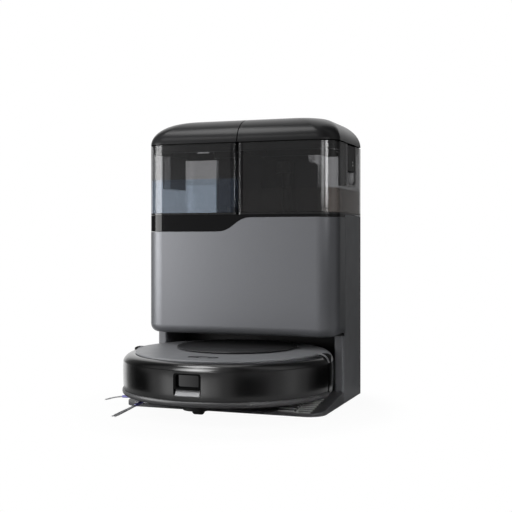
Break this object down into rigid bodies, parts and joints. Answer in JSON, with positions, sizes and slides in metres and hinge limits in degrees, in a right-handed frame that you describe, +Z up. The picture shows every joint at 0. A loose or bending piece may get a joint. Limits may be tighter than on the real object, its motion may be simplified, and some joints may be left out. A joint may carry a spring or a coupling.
{
  "type": "robot vacuum with docking station",
  "caption": "Round robot vacuum and mop docked on an upright station with lidded water tanks, a dust bag behind a front cover and a ramped wash base.",
  "frame": {"origin": "on the floor, under the middle of the docked robot", "axes": "+Z up, -Y the way the station's front faces and the robot drives out, +X to the right of a viewer in front"},
  "size_m": [0.3765, 0.3861, 0.477],
  "materials": {
    "cover_grey": "satin metallic grey",
    "lid_black": "glossy black",
    "station_dark": "satin dark grey",
    "inner_dark": "matte black",
    "base_dark": "fine textured dark grey",
    "tank_smoke": "clear smoky tank",
    "robot_grey": "fine matte grey",
    "disc_grey": "matte grey, darker than the ring round it",
    "button_grey": "satin dark grey",
    "soft_black": "black rubber",
    "tyre_black": "black tyre rubber",
    "brush_rubber": "purple blue rubber",
    "bristle": "dark nylon bristle",
    "chin_silver": "satin silver",
    "lens": "dark sensor window",
    "contact_metal": "plated contact",
    "board_green": "circuit board",
    "pad_cloth": "grey looped mop cloth",
    "bag_paper": "pale filter paper"
  },
  "bodies": {
    "station": {"base_plate": "base_dark", "foot_pads": "soft_black", "wash_tray": "base_dark", "left_side_panel": "station_dark", "right_side_panel": "station_dark", "rear_panel": "station_dark", "inner_frame": "inner_dark", "tank_deck": "inner_dark", "rear_spine": "inner_dark", "fascia_band": "lid_black", "dust_bag": "bag_paper", "suction_fan": "inner_dark", "water_pumps": "inner_dark", "control_board": "board_green", "power_inlet": "inner_dark", "dock_contacts": "contact_metal"},
    "front_cover": {"front_cover": "cover_grey"},
    "clean_tank": {"clean_tank": "tank_smoke", "clean_valve": "inner_dark"},
    "clean_lid": {"clean_lid": "lid_black", "clean_lid_seal": "soft_black"},
    "clean_latch": {"clean_latch": "lid_black"},
    "dirty_tank": {"dirty_tank": "tank_smoke", "dirty_standpipe": "inner_dark"},
    "dirty_lid": {"dirty_lid": "lid_black", "dirty_lid_seal": "soft_black"},
    "dirty_latch": {"dirty_latch": "lid_black"},
    "robot": {"robot_chassis": "inner_dark", "rear_shell": "robot_grey", "top_cover": "robot_grey", "dust_box": "inner_dark", "robot_fan": "inner_dark", "battery": "inner_dark", "main_board": "board_green", "brush_guard": "inner_dark", "charge_plates": "contact_metal", "gear_motors": "inner_dark"},
    "disc_lid": {"disc_lid": "disc_grey"},
    "power_button": {"power_button": "button_grey"},
    "home_button": {"home_button": "button_grey"},
    "bumper": {"bumper": "lid_black", "bumper_lip": "soft_black", "sensor_frame": "inner_dark", "sensor_lens": "lens", "sensor_chin": "chin_silver"},
    "left_arm": {"left_drive_arm": "inner_dark"},
    "left_wheel": {"left_wheel_hub": "inner_dark", "left_tyre": "tyre_black"},
    "right_arm": {"right_drive_arm": "inner_dark"},
    "right_wheel": {"right_wheel_hub": "inner_dark", "right_tyre": "tyre_black"},
    "caster": {"caster_fork": "inner_dark"},
    "caster_wheel": {"caster_wheel": "soft_black"},
    "side_brush": {"side_brush_hub": "brush_rubber", "side_brush_bristles": "bristle"},
    "main_brush": {"main_brush": "brush_rubber"},
    "left_mop": {"left_mop_plate": "inner_dark", "left_mop_pad": "pad_cloth"},
    "right_mop": {"right_mop_plate": "inner_dark", "right_mop_pad": "pad_cloth"}
  },
  "joints": [
    {"name": "robot_undock", "type": "slide", "parent": "station", "child": "robot", "axis": [0, -1, 0], "range_m": [0, 0.25]},
    {"name": "front_cover_pull", "type": "slide", "parent": "station", "child": "front_cover", "axis": [0, -1, 0], "range_m": [0, 0.1]},
    {"name": "clean_tank_lift", "type": "slide", "parent": "station", "child": "clean_tank", "axis": [0, 0, 1], "range_m": [0, 0.15]},
    {"name": "dirty_tank_lift", "type": "slide", "parent": "station", "child": "dirty_tank", "axis": [0, 0, 1], "range_m": [0, 0.15]},
    {"name": "clean_lid_open", "type": "hinge", "parent": "clean_tank", "child": "clean_lid", "pos_m": [-0.1325, 0.2118, 0.4376], "axis": [-1, 0, 0], "range_deg": [0, 90]},
    {"name": "dirty_lid_open", "type": "hinge", "parent": "dirty_tank", "child": "dirty_lid", "pos_m": [0.1325, 0.2118, 0.4376], "axis": [-1, 0, 0], "range_deg": [0, 90]},
    {"name": "clean_latch_flip", "type": "hinge", "parent": "clean_tank", "child": "clean_latch", "pos_m": [-0.1655, 0.1445, 0.4255], "axis": [0, 1, 0], "range_deg": [0, 15], "stiffness_Nm_per_rad": 0.05, "springref_deg": -17.19},
    {"name": "dirty_latch_flip", "type": "hinge", "parent": "dirty_tank", "child": "dirty_latch", "pos_m": [0.1655, 0.1445, 0.4255], "axis": [0, -1, 0], "range_deg": [0, 15], "stiffness_Nm_per_rad": 0.05, "springref_deg": -17.19},
    {"name": "disc_lid_lift", "type": "slide", "parent": "robot", "child": "disc_lid", "axis": [0, 0, 1], "range_m": [0, 0.012]},
    {"name": "power_press", "type": "slide", "parent": "robot", "child": "power_button", "axis": [0, 0, -1], "range_m": [0, 0.0008], "stiffness_N_per_m": 800, "springref_m": -0.0006},
    {"name": "home_press", "type": "slide", "parent": "robot", "child": "home_button", "axis": [0, 0, -1], "range_m": [0, 0.0008], "stiffness_N_per_m": 800, "springref_m": -0.0006},
    {"name": "bumper_press", "type": "slide", "parent": "robot", "child": "bumper", "axis": [0, 1, 0], "range_m": [0, 0.005], "stiffness_N_per_m": 500, "springref_m": -0.002},
    {"name": "left_arm_swing", "type": "hinge", "parent": "robot", "child": "left_arm", "pos_m": [-0.093, 0.04, 0.05], "axis": [-1, 0, 0], "range_deg": [0, 8], "stiffness_Nm_per_rad": 2, "springref_deg": -14.32},
    {"name": "right_arm_swing", "type": "hinge", "parent": "robot", "child": "right_arm", "pos_m": [0.093, 0.04, 0.05], "axis": [-1, 0, 0], "range_deg": [0, 8], "stiffness_Nm_per_rad": 2, "springref_deg": -14.32},
    {"name": "left_wheel_roll", "type": "hinge", "parent": "left_arm", "child": "left_wheel", "pos_m": [-0.114, 0, 0.045], "axis": [1, 0, 0], "continuous": true},
    {"name": "right_wheel_roll", "type": "hinge", "parent": "right_arm", "child": "right_wheel", "pos_m": [0.114, 0, 0.045], "axis": [1, 0, 0], "continuous": true},
    {"name": "caster_swivel", "type": "hinge", "parent": "robot", "child": "caster", "pos_m": [0, -0.128, 0.03], "axis": [0, 0, 1], "continuous": true},
    {"name": "caster_roll", "type": "hinge", "parent": "caster", "child": "caster_wheel", "pos_m": [0, -0.124, 0.021], "axis": [1, 0, 0], "continuous": true},
    {"name": "side_brush_spin", "type": "hinge", "parent": "robot", "child": "side_brush", "pos_m": [-0.114, -0.068, 0.018], "axis": [0, 0, 1], "continuous": true, "deforming": ["side_brush_bristles"]},
    {"name": "main_brush_spin", "type": "hinge", "parent": "robot", "child": "main_brush", "pos_m": [0, -0.06, 0.032], "axis": [1, 0, 0], "continuous": true},
    {"name": "left_mop_spin", "type": "hinge", "parent": "robot", "child": "left_mop", "pos_m": [-0.064, 0.088, 0.016], "axis": [0, 0, 1], "continuous": true},
    {"name": "right_mop_spin", "type": "hinge", "parent": "robot", "child": "right_mop", "pos_m": [0.064, 0.088, 0.016], "axis": [0, 0, 1], "continuous": true}
  ],
  "couplings": [
    {"joint": "right_mop_spin", "follows": "left_mop_spin", "ratio": -1}
  ]
}
